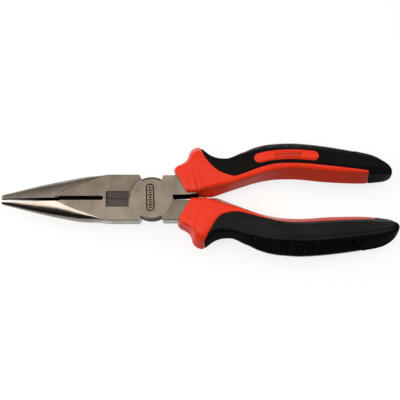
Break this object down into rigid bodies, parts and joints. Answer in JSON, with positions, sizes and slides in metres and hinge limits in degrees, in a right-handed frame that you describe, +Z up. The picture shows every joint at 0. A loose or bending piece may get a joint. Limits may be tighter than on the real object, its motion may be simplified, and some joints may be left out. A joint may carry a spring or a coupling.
{
  "type": "needle nose pliers",
  "caption": "Long tapering needle nose pliers with serrated jaws, a side cutter and curved two-colour handles, closed and lying flat.",
  "frame": {"origin": "on the pivot axis, on the back face of the joint", "axes": "+X from the pivot towards the handle ends, +Y towards the upper handle, +Z up out of the front face"},
  "size_m": [0.2033, 0.0605, 0.0195],
  "materials": {
    "steel": "satin, cross-brushed flats and a polished nose",
    "rivet_steel": "ground flush with the joint",
    "red_plastic": "orange-red moulded plastic, semi-gloss",
    "black_rubber": "soft black, ribbed along the outer edge",
    "badge_plastic": "orange-red inlay, semi-gloss"
  },
  "bodies": {
    "front_lever": {"lever_front": "steel", "pivot_rivet": "rivet_steel", "upper_grip_core": "red_plastic", "upper_grip_cover": "black_rubber", "upper_badge": "badge_plastic"},
    "back_lever": {"lever_back": "steel", "lower_grip_core": "red_plastic", "lower_grip_cover": "black_rubber", "lower_badge": "badge_plastic"}
  },
  "joints": [
    {"name": "jaw_pivot", "type": "hinge", "parent": "front_lever", "child": "back_lever", "pos_m": [0, 0, 0.005], "axis": [0, 0, -1], "range_deg": [0, 52]}
  ]
}
